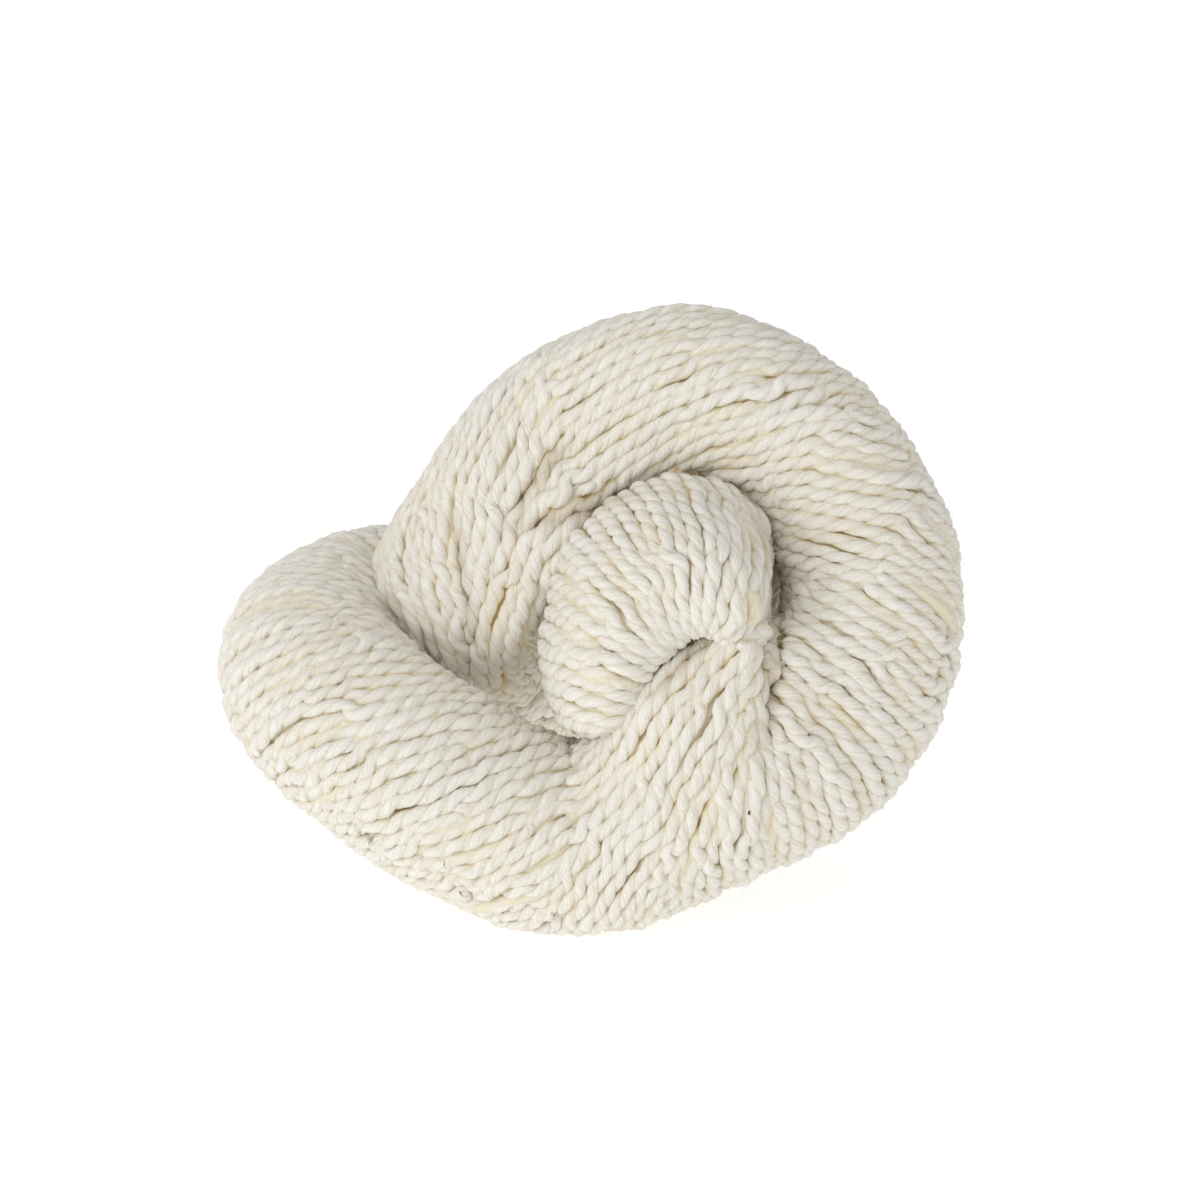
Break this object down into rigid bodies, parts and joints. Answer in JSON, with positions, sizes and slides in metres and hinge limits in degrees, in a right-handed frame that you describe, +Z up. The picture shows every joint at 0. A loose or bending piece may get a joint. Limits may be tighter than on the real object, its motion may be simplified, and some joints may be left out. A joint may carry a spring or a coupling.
{
  "type": "twisted hank of worsted weight yarn",
  "caption": "Twisted hank of undyed two-ply wool yarn: a fat bundle coiled round a knob at the front and twisted on itself like a short rope behind.",
  "frame": {"origin": "below the middle of the hank, on the surface it lies on", "axes": "+Z up; +Y along the hank, from the coiled front end to the fold at the back; +X to the viewer's right when looking at the coiled end"},
  "size_m": [0.1214, 0.2116, 0.0987],
  "materials": {
    "yarn": "matt undyed two-ply wool with a light fuzz"
  },
  "bodies": {
    "root": {"hank": "yarn"}
  },
  "joints": []
}
